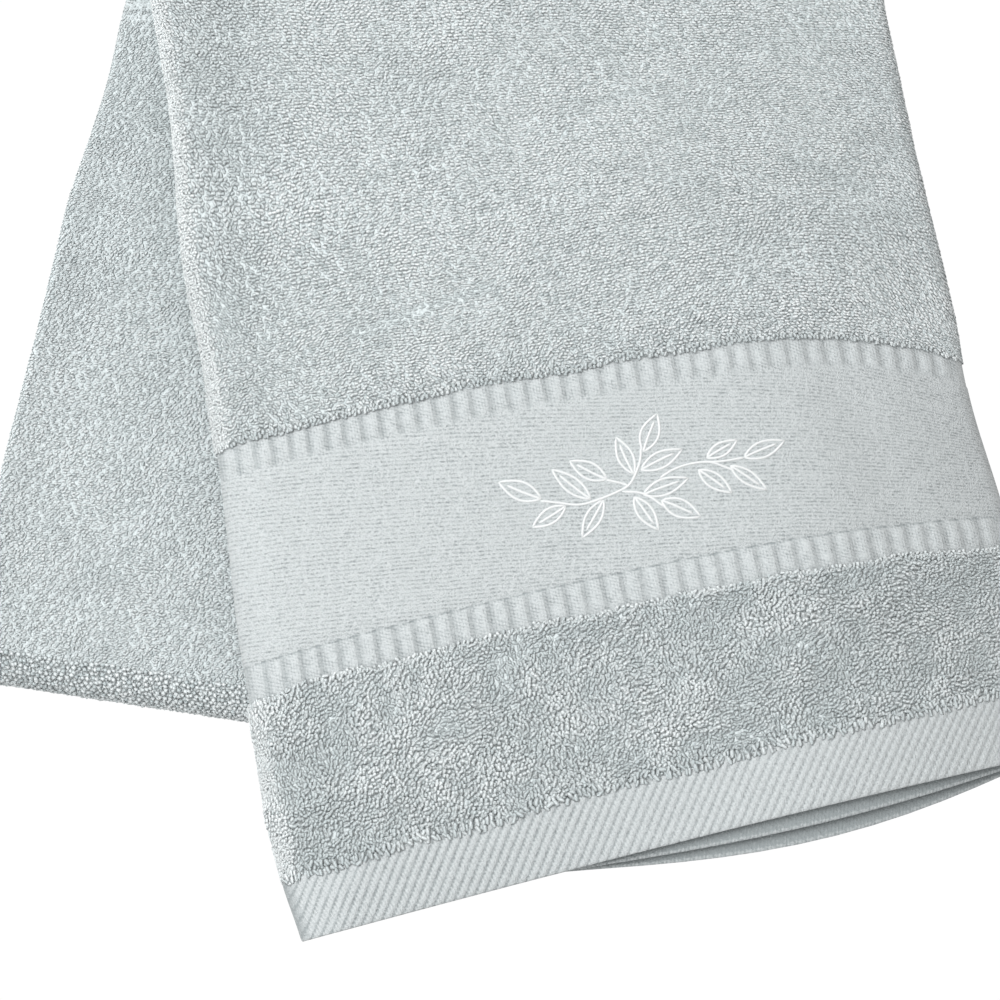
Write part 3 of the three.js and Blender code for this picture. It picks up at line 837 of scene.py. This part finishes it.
PILES = [
    dict(FINE, name="pile_front_low", length=(BORDER_END + 0.2, 216), seed=21),
    dict(FINE, name="pile_front_middle", length=(216, 274), seed=22),
    dict(FINE, name="pile_front_high", length=(274, 326), seed=23),
    dict(STRIP, name="pile_strip", length=(STRIP_START + 0.3, STRIP_END + 0.2), seed=24),
    dict(RIM, name="rim_front", length=(BORDER_END, 330), seed=31),
    dict(RIM, name="rim_strip", length=(STRIP_START, STRIP_END), seed=32),
    dict(HANGING, name="fringe_over_band", length=(BORDER_END - 0.4, BORDER_END + 1.6), pitch=1.5,
         long=2.0, wide=1.3, tall=1.0, seed=33),
    dict(HANGING, name="fringe_over_hem", length=(STRIP_START - 1.0, STRIP_START + 2.6), pitch=1.8,
         long=3.6, wide=1.35, tall=1.35, seed=34),
    dict(HANGING, name="fringe_over_ribs", length=(STRIP_END - 0.8, STRIP_END + 1.2), pitch=1.5,
         long=2.0, wide=1.4, tall=0.6, tone=0.6, tangle=0.8, arch=ROUND_ARCH,
         lay=math.pi / 2 - 0.5, seed=35),
    dict(FINE, name="pile_back_left", length=(STRIP_LENGTH, INNER_RAIL_TOP - 20),
         shows=beside_front_tail, lay=0.7, lay_left=0.0, tangle=0.5, swirl=0.2, row_share=0.72,
         long=1.8, tall=0.34, curl=0.04, tufts=0.0, shaded_spots=0.08, hill=0.14, tone=0.46, seed=25),
    dict(COARSE, name="pile_over_rail", length=(326, 420), seed=26),
    dict(COARSE, name="pile_back", length=(420, STRIP_LENGTH), down=1, seed=27),
    dict(COARSE, name="pile_back_bend", length=(STRIP_LENGTH, INNER_START), pitch=1.9, seed=36),
    dict(COARSE, name="pile_back_inside", length=(INNER_START, INNER_RAIL_TOP),
         shows=by_fold_inside, seed=28),
    dict(COARSE, name="pile_front_inside", length=(INNER_RAIL_TOP, TOWEL_LENGTH - BORDER_END),
         shows=past_back_tail, down=1, seed=29),
    dict(COARSE, name="pile_inner_strip", down=1, seed=30,
         length=(TOWEL_LENGTH - STRIP_END, TOWEL_LENGTH - STRIP_START)),
]

# The sprig stitched on the band, in millimetres from its middle: across, and up the towel
SPRIG_RUN = FRONT_RUN + PANEL_WIDTH / 2 + 10.0
SPRIG_LENGTH = 118.0
SPRIG_OFF = 0.95
THREAD_WIDTH = 0.85
THREAD_RISE = 0.36
THREAD_SIDES = 8
THREAD_TIP = 0.35        # of the width and rise, at each line's ends
STEM_STEPS = 6
STEMS = [
    [(-32, 1), (-26, -1), (-19.5, -3), (-12.5, -2.5), (-5.5, -1), (-2, 0.5), (0.5, 3.5), (3, 8), (4, 12)],
    [(-5, -1.5), (0.5, -3), (4, -5.5), (7.5, -9.5)],
    [(8, 0.5), (12.5, 2.5), (18.5, 3.5), (25, 3), (29.5, 0.5), (32.5, -1.5)],
    [(-9.5, 3.5), (-5, 1.5), (-2.5, 0)],
    [(22.5, 3.5), (29, 2.5), (37, 2.5)],
]
# Each leaf's place across and up, its length and width, and its angle
LEAVES = [
    (-31.5, 1.5, 15.5, 6.0, 147),
    (-24, -2.5, 13.0, 5.0, 201),
    (-15.5, -2, 16.5, 5.0, 131),
    (-9, 3.5, 14.0, 5.5, 142),
    (-11.5, -3, 14.5, 5.0, 230),
    (0, 3.5, 14.0, 5.0, 104),
    (4.5, 10.5, 14.0, 6.0, 60),
    (2.5, 4.5, 15.5, 5.5, 17),
    (1.5, -4, 16.0, 5.5, 10),
    (-1.5, -4, 14.0, 5.0, 293),
    (7, -7, 14.0, 6.0, 324),
    (24.5, 4.5, 12.0, 4.5, 22),
    (21, 1, 13.5, 5.0, 312),
    (31.5, 0.5, 14.5, 4.5, 313),
    (36.5, 2.5, 15.0, 5.5, 15),
]
LEAF_STOPS = 13
LEAF_POINT = 0.9         # below 1, the leaf is widest nearer its foot
# A leaf's two edges and its midrib: the share of the half width, and of the length
LEAF_LINES = ((1, 1.0), (-1, 1.0), (0.06, 0.8))


# A smooth line through a few points
def smooth_line(points, steps):
    points = np.array(points, float)
    ends = np.vstack([2 * points[0] - points[1], points, 2 * points[-1] - points[-2]])
    t = (np.arange(steps) / steps)[:, None]
    line = []
    for p0, p1, p2, p3 in zip(ends, ends[1:], ends[2:], ends[3:]):
        curve = (2 * p0 - 5 * p1 + 4 * p2 - p3) * t ** 2 + (3 * p1 - p0 - 3 * p2 + p3) * t ** 3
        line.append(p1 + 0.5 * ((p2 - p0) * t + curve))
    return np.vstack([*line, points[-1]])


def leaf_lines(leaf):
    across, up, leaf_length, width, angle = leaf
    cosine = math.cos(math.radians(angle))
    sine = math.sin(math.radians(angle))
    share = np.linspace(0, 1, LEAF_STOPS)
    belly = width / 2 * np.sin(math.pi * share ** LEAF_POINT)
    lines = []
    for side, reach in LEAF_LINES:
        ahead = leaf_length * share * reach
        aside = belly * side
        lines.append(np.stack([
            across + ahead * cosine - aside * sine, up + ahead * sine + aside * cosine], axis=1))
    return lines


# The triangles of one closed tube of thread, whose points start at a number
def thread_triangles(start, stops):
    triangles = []
    for low in range(start, start + (stops - 1) * THREAD_SIDES, THREAD_SIDES):
        high = low + THREAD_SIDES
        for side in range(THREAD_SIDES):
            after = (side + 1) % THREAD_SIDES
            triangles.append((low + side, high + side, high + after))
            triangles.append((low + side, high + after, low + after))
    last = start + (stops - 1) * THREAD_SIDES
    for side in range(1, THREAD_SIDES - 1):
        triangles.append((start, start + side, start + side + 1))
        triangles.append((last, last + side + 1, last + side))
    return triangles


def make_sprig(material):
    lines = [smooth_line(stem, STEM_STEPS) for stem in STEMS]
    for leaf in LEAVES:
        lines += leaf_lines(leaf)
    points = []
    triangles = []
    start = 0
    turns = np.arange(THREAD_SIDES) * 2 * math.pi / THREAD_SIDES
    for line in lines:
        ahead = np.gradient(line, axis=0)
        ahead /= np.linalg.norm(ahead, axis=1)[:, None]
        slim = np.ones((len(line), 1))
        slim[[0, -1]] = THREAD_TIP
        aside = np.cos(turns) * slim * THREAD_WIDTH / 2
        rise = np.sin(turns) * slim * THREAD_RISE
        run = SPRIG_RUN + line[:, :1] - ahead[:, 1:] * aside
        length = SPRIG_LENGTH + line[:, 1:] + ahead[:, :1] * aside
        points.append(cloth_point(run, length, SPRIG_OFF + rise).reshape(-1, 3))
        triangles += thread_triangles(start, len(line))
        start += len(points[-1])
    sprig = new_piece("leaf_sprig", np.concatenate(points), np.array(triangles, np.int32))
    sprig.data.materials.append(material)
    return sprig


# Materials
TERRY_PALE = (0.81, 0.865, 0.875, 1)
TERRY_DARK = (0.49, 0.545, 0.555, 1)
WEAVE_LIGHT = (0.56, 0.59, 0.597, 1)
WEAVE_SHADE = (0.30, 0.33, 0.338, 1)
THREAD_WHITE = (0.78, 0.79, 0.79, 1)
THREAD_SHADE = (0.66, 0.68, 0.685, 1)
CLOTH_LOOK = {"Roughness": 0.9, "Specular IOR Level": 0.2, "Sheen Weight": 0.25, "Sheen Roughness": 0.5}
TERRY_LOOK = {
    **CLOTH_LOOK, "Sheen Weight": 0.15, "Subsurface Weight": 0.6, "Subsurface Scale": 1.0 * MM,
    "Subsurface Radius": (1.0, 1.0, 1.0),
}
THREAD_LOOK = {**CLOTH_LOOK, "Roughness": 0.55, "Specular IOR Level": 0.4}


def new_material(name, look=CLOTH_LOOK):
    material = bpy.data.materials.new(name)
    material.use_nodes = True
    tree = material.node_tree
    tree.nodes.clear()
    output = tree.nodes.new("ShaderNodeOutputMaterial")
    surface = tree.nodes.new("ShaderNodeBsdfPrincipled")
    tree.links.new(surface.outputs["BSDF"], output.inputs["Surface"])
    for setting, value in look.items():
        surface.inputs[setting].default_value = value
    return material, tree, surface


# Adds a node; each input is a number or a value to join to it
def add_node(tree, kind, inputs, **settings):
    made = tree.nodes.new(kind)
    for name, value in settings.items():
        setattr(made, name, value)
    for name, value in inputs.items():
        if isinstance(value, Value):
            value.join(made.inputs[name])
        else:
            made.inputs[name].default_value = value
    return made


def add(tree, kind, inputs, output=0, **settings):
    return Value(add_node(tree, kind, inputs, **settings).outputs[output])


# A number or colour inside a material. Sums and products of values make the nodes for them.
class Value:
    def __init__(self, socket):
        self.socket = socket
        self.tree = socket.id_data

    def join(self, target):
        self.tree.links.new(self.socket, target)

    def maths(self, operation, second=0.0, third=0.5):
        return add(self.tree, "ShaderNodeMath", {0: self, 1: second, 2: third}, operation=operation)

    # This times a factor, plus a start
    def scaled(self, factor, start):
        return self.maths("MULTIPLY_ADD", factor, start)

    def __add__(self, other):
        return self.maths("ADD", other)

    def __sub__(self, other):
        return self.maths("SUBTRACT", other)

    def __rsub__(self, first):
        return add(self.tree, "ShaderNodeMath", {0: first, 1: self}, operation="SUBTRACT")

    def __mul__(self, other):
        return self.maths("MULTIPLY", other)

    def __truediv__(self, other):
        return self.maths("DIVIDE", other)

    def __pow__(self, other):
        return self.maths("POWER", other)


def mix_colours(share, first, second):
    return add(share.tree, "ShaderNodeMix", {0: share, 6: first, 7: second}, 2, data_type="RGBA")


def colour_surface(surface, share, first, second):
    mix_colours(share, first, second).join(surface.inputs["Base Color"])


def point_value(tree, name):
    return add(tree, "ShaderNodeAttribute", {}, "Fac", attribute_name=name)


# Run and length in millimetres, from the weave map
def weave_axes(tree):
    uv = add(tree, "ShaderNodeUVMap", {}, uv_map="weave")
    axes = add_node(tree, "ShaderNodeSeparateXYZ", {0: uv}).outputs
    return [Value(axis) * (1 / MM) for axis in axes[:2]]


# A wave from 0 to 1 along a place in millimetres
def wave(place, pitch):
    return (place * (2 * math.pi / pitch)).maths("SINE").scaled(0.5, 0.5)


# 0 at low and 1 at high
def ramp(value, low, high, **settings):
    return add(value.tree, "ShaderNodeMapRange", {0: value, 1: low, 2: high}, **settings)


# 1 from low to high, easing over soft at both
def between(value, low, high, soft):
    rise = ramp(value, low - soft, low + soft, interpolation_type="SMOOTHSTEP")
    return rise - ramp(value, high - soft, high + soft, interpolation_type="SMOOTHSTEP")


# How many cells each noise has to a metre
NOISE_SCALES = {
    "ground": 620.0, "grain": 1900.0, "fibre": 2400.0, "band bend": 60.0, "band tremble": 330.0,
    "band fade": 180.0, "ribs": 420.0, "hem": 300.0,
}


def noise(tree, name, detail=2.0):
    where = add(tree, "ShaderNodeTexCoord", {}, "Object")
    inputs = {"Vector": where, "Scale": NOISE_SCALES[name], "Detail": detail}
    return add(tree, "ShaderNodeTexNoise", inputs)


def add_bump(surface, height, distance):
    inputs = {"Height": height, "Distance": distance * MM, "Strength": 1.0}
    add(height.tree, "ShaderNodeBump", inputs).join(surface.inputs["Normal"])


# How pale a loop is: by the height along it, painted shade towards its feet, and by its own tone
FOOT_SHADE_SHARE = 0.3
TONE_SHARE = 0.85
TONE_START = -0.2


def terry_loops():
    material, tree, surface = new_material("terry_loops", TERRY_LOOK)
    by_tone = point_value(tree, "tone").scaled(TONE_SHARE, TONE_START)
    share = point_value(tree, "height").scaled(FOOT_SHADE_SHARE, by_tone)
    colour_surface(surface, share, TERRY_DARK, TERRY_PALE)
    return material


GROUND_DEPTH = 1.6


def terry_ground():
    material, tree, surface = new_material("terry_ground")
    tufts = noise(tree, "ground", 3.0)
    colour_surface(surface, tufts, TERRY_DARK, TERRY_PALE)
    add_bump(surface, tufts, GROUND_DEPTH)
    return material


# A weave's dark lines fade by this share towards the front's right fold, in softer light
FADE_SHARE = 0.5
FADE_WIDTH = 0.45 * PANEL_WIDTH
FADE_MIDDLE = FRONT_RUN + FADE_WIDTH


def fade_to_right(run):
    return between(run, FADE_MIDDLE, 4 * PANEL_WIDTH, FADE_WIDTH).scaled(-FADE_SHARE, 1.0)


WEAVE_DEPTH = 0.3
WEAVE_GRAIN = 1.2
GRAIN_MIDDLE = 0.45


# Joins a weave's dark gaps to its surface as painted shade: dark is 1 at the bottom of a gap
def weave_finish(surface, dark, grain=WEAVE_GRAIN):
    dark = noise(dark.tree, "grain", 1.0).scaled(grain, dark) - grain * GRAIN_MIDDLE
    colour_surface(surface, dark, WEAVE_LIGHT, WEAVE_SHADE)
    add_bump(surface, 1.0 - dark, WEAVE_DEPTH)


BAND_PITCH = 1.32
BAND_SLANT = 0.16
BAND_BEND = 1.6
BAND_TREMBLE = 0.5
BAND_SHARPNESS = 1.8
BAND_FADE = (0.9, 0.15)
BAND_GRAIN = 1.8
DASH_LENGTH = 1.3
DASH_SHIFTS = (0.37, 3.7)    # from one row to the next, in the noise that makes the dashes
DASH_EDGES = (0.36, 0.64)
DASH_DARK = (0.85, 0.25)


# Long floats of yarn in slightly slanting rows, each broken into dashes of its own
def smooth_band():
    material, tree, surface = new_material("smooth_band")
    run, length = weave_axes(tree)
    waver = noise(tree, "band tremble").scaled(BAND_TREMBLE, noise(tree, "band bend") * BAND_BEND)
    place = run.scaled(BAND_SLANT, length) + waver
    gap = wave(place, BAND_PITCH) ** BAND_SHARPNESS
    row = (place / BAND_PITCH + 0.25).maths("FLOOR")
    along_row = row.scaled(DASH_SHIFTS[0], run / DASH_LENGTH)
    spot = add(tree, "ShaderNodeCombineXYZ", {0: along_row, 1: row * DASH_SHIFTS[1]})
    chance = add(tree, "ShaderNodeTexNoise", {"Vector": spot, "Scale": 1.0, "Detail": 1.0})
    dash = ramp(chance, *DASH_EDGES).scaled(*DASH_DARK)
    fade = noise(tree, "band fade").scaled(*BAND_FADE)
    weave_finish(surface, gap * (dash * fade), BAND_GRAIN)
    return material


# In shares of a rib's pitch: its flat top, the line of painted shade on its right, the dash of painted
# shadow at its end
RIB_TOP = (0.12, 0.6)
RIB_SHADE_LINE = (0.6, 0.92)
RIB_DASH = (0.25, 0.8)
RIB_SOFT = 0.12
RIB_LINE_SOFT = 0.14
RIB_LINE_PAINTED_SHADE = 0.3
FLAT_PAINTED_SHADE = 0.12
RIB_UNEVEN = (1.4, -0.3)
KNOT_PITCH = 1.25
KNOT_SLANT = 0.5
KNOT_WAVER = 1.6
KNOT_SHARPNESS = 2.0
KNOT_DARK = 0.7
COLUMN_PITCH = RIB_PITCH / 6
COLUMN_WAVER = 0.6
COLUMN_SHARPNESS = 2.5
COLUMN_DARK = 0.5
EDGE_WAVER = 0.8
EDGE_LINE = (-0.5, 0.1, 0.3)    # its start and end, from the strip's upper end, and its softness
EDGE_PAINTED_SHADOW = (0.5, 0.15)


# Small knots on each raised rib and the flats, painted shade on the flats and a soft line of painted shade
# on the rib's right. The lower strip's upper end has a soft dash of painted shadow at each rib.
def rib_weave(part):
    material, tree, surface = new_material(part.replace(" ", "_"))
    run, length = weave_axes(tree)
    phase = ((run - FRONT_RUN) / RIB_PITCH).maths("FRACT")
    flat = 1.0 - between(phase, *RIB_TOP, RIB_SOFT)
    line = between(phase, *RIB_SHADE_LINE, RIB_LINE_SOFT)
    uneven = noise(tree, "ribs")
    knot_place = run.scaled(KNOT_SLANT, uneven.scaled(KNOT_WAVER, length))
    across_knots = wave(knot_place, KNOT_PITCH) ** KNOT_SHARPNESS
    beside_knots = wave(uneven.scaled(COLUMN_WAVER, run), COLUMN_PITCH) ** COLUMN_SHARPNESS
    pit = across_knots * KNOT_DARK + beside_knots * COLUMN_DARK
    dark = pit * uneven.scaled(*RIB_UNEVEN)
    dark = line.scaled(RIB_LINE_PAINTED_SHADE, flat * FLAT_PAINTED_SHADE).scaled(fade_to_right(run), dark)
    # Painted shadow along the lower strip's upper end, where the thicker band steps up from it
    if part == "lower rib strip":
        low, high, soft = EDGE_LINE
        dash = between(phase, *RIB_DASH, RIB_SOFT).scaled(*EDGE_PAINTED_SHADOW)
        place = uneven.scaled(EDGE_WAVER, length)
        edge_shadow = between(place, LOWER_RIBS_END + low, LOWER_RIBS_END + high, soft)
        dark = edge_shadow.scaled(dash, dark)
    weave_finish(surface, dark)
    return material


HEM_UNEVEN = (0.9, 0.2)
HEM_KNOT_PITCH = 1.15
HEM_KNOT_SLANT = 0.9
HEM_KNOT_REACH = 0.32
HEM_KNOT_DARK = 0.28
HEM_GROOVE_PLACE = 0.3 * HEM_PITCH
HEM_SHARPNESS = 3.5
TUCKED_PAINTED_SHADE = 0.85
HEM_TUCKED_TWILL = 0.3
HEM_TUCKED_SOFT = 2.5
TUCKED_EDGE = (-1.0, 1.1, 0.4)
EDGE_SHADE_EASED = 0.55


# Slanting ropes of yarn with painted shade in the serrated grooves between them. The thirds folded in are
# painted darker for the shade they lie in, show a finer twill, and the painted shade eases along their edge.
def hem_twill():
    material, tree, surface = new_material("hem_twill")
    run, length = weave_axes(tree)
    rope = run + (length - HEM_LENGTH / 2) * -math.tan(HEM_SLANT) - FRONT_RUN
    knot = wave(rope.scaled(HEM_KNOT_SLANT, length), HEM_KNOT_PITCH)
    groove = wave(knot.scaled(HEM_KNOT_REACH, rope) - HEM_GROOVE_PLACE, HEM_PITCH) ** HEM_SHARPNESS
    dark = groove * noise(tree, "hem").scaled(*HEM_UNEVEN)
    dark = (1.0 - knot).scaled(HEM_KNOT_DARK, dark) * fade_to_right(run)
    shows = between(run, FRONT_RUN - 1.0, RIGHT_FOLD_RUN + 1.0, HEM_TUCKED_SOFT)
    tucked = (knot + groove) * HEM_TUCKED_TWILL + TUCKED_PAINTED_SHADE
    tucked = between(length, *TUCKED_EDGE).scaled(-EDGE_SHADE_EASED, tucked)
    weave_finish(surface, add(tree, "ShaderNodeMix", {0: shows, 2: tucked, 3: dark}))
    return material


FIBRE_DEPTH = 0.12


def sprig_thread():
    material, tree, surface = new_material("sprig_thread", THREAD_LOOK)
    fibre = noise(tree, "fibre")
    colour_surface(surface, fibre, THREAD_SHADE, THREAD_WHITE)
    add_bump(surface, fibre, FIBRE_DEPTH)
    return material


# The studio: a pale floor, a pale sky and two soft lights, in metres
FLOOR_HEIGHT = -0.85
FLOOR_HALF = 6.0
FLOOR_LOOK = {**CLOTH_LOOK, "Base Color": (0.58, 0.58, 0.58, 1), "Sheen Weight": 0.0}
ROOM_SHADE = (0.74, 0.71, 0.68, 1)
ROOM_SHADE_FROM = 0.3
ROOM_SHADE_TO = 0.9
ROOM_LIGHT = 0.64
BACKDROP_LIGHT = 1.02
BACKDROP_EDGE = 0.35
LIGHT_TARGET = (0, 0, -0.15)
LIGHTS = [
    {"name": "soft_key", "place": (-1.4, -1.0, 0.75), "size": 1.3, "power": 5.4, "colour": (0.94, 1.0, 1.0)},
    {"name": "front_fill", "place": (-0.45, -1.3, 0.05), "size": 1.0, "power": 16.4, "colour": (1, 1, 1)},
]


def make_floor():
    sides = [(-1, -1), (1, -1), (1, 1), (-1, 1)]
    corners = [(x * FLOOR_HALF, y * FLOOR_HALF, FLOOR_HEIGHT) for x, y in sides]
    floor = new_piece("floor", np.array(corners) / MM, np.array([(0, 1, 2), (0, 2, 3)]))
    floor.data.materials.append(new_material("floor_paper", FLOOR_LOOK)[0])


def aim(thing, target):
    thing.rotation_euler = (Vector(target) - thing.location).to_track_quat("-Z", "Y").to_euler()


def add_light(row):
    data = bpy.data.lights.new(row["name"], "AREA")
    data.shape = "DISK"
    data.size = row["size"]
    data.energy = row["power"]
    data.color = row["colour"]
    light = new_object(row["name"], data)
    light.location = row["place"]
    aim(light, LIGHT_TARGET)


def make_sky():
    world = bpy.data.worlds.new("studio")
    bpy.context.scene.world = world
    world.use_nodes = True
    tree = world.node_tree
    sky = tree.nodes["Background"]
    way = add(tree, "ShaderNodeTexCoord", {}, "Generated")
    x, y = [Value(axis) for axis in add_node(tree, "ShaderNodeSeparateXYZ", {0: way}).outputs[:2]]
    right = ramp(x, ROOM_SHADE_FROM, ROOM_SHADE_TO)
    mix_colours(right, (1, 1, 1, 1), ROOM_SHADE).join(sky.inputs["Color"])
    reach = {1: -BACKDROP_EDGE, 2: BACKDROP_EDGE, 3: ROOM_LIGHT, 4: BACKDROP_LIGHT}
    add(tree, "ShaderNodeMapRange", {0: y, **reach}).join(sky.inputs["Strength"])
    bpy.context.scene.view_settings.view_transform = "Standard"


# The camera, in front of the towel and a little below its middle, looks slightly up
PIXEL_MM = 0.342
CAMERA_TILT = math.radians(8)
CAMERA_DISTANCE = 1.0
CAMERA_TARGET = (0.005, -0.042, -0.187)
SENSOR_MM = 36.0
PHOTO_PIXELS = 1000
NEAREST = 0.05
FARTHEST = 60.0


def make_camera():
    data = bpy.data.cameras.new("camera")
    data.sensor_width = SENSOR_MM
    data.lens = SENSOR_MM * CAMERA_DISTANCE / (PHOTO_PIXELS * PIXEL_MM * MM)
    data.clip_start = NEAREST
    data.clip_end = FARTHEST
    camera = new_object("camera", data)
    back = Vector((0, -math.cos(CAMERA_TILT), -math.sin(CAMERA_TILT)))
    camera.location = Vector(CAMERA_TARGET) + back * CAMERA_DISTANCE
    aim(camera, CAMERA_TARGET)
    bpy.context.scene.camera = camera


def make_towel():
    weave = {"hem": hem_twill(), "smooth band": smooth_band()}
    for part in ("lower rib strip", "upper rib strip"):
        weave[part] = rib_weave(part)
    ground = terry_ground()
    loops = terry_loops()
    cloth = make_cloth({part: weave.get(part, ground) for part in PARTS})
    sprig = make_sprig(sprig_thread())
    piles = [make_pile(row, loops) for row in PILES]
    for piece in [cloth, sprig, *piles]:
        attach(piece, "root")
    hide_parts("towel")


make_towel()
make_floor()
make_sky()
for light_row in LIGHTS:
    add_light(light_row)
make_camera()
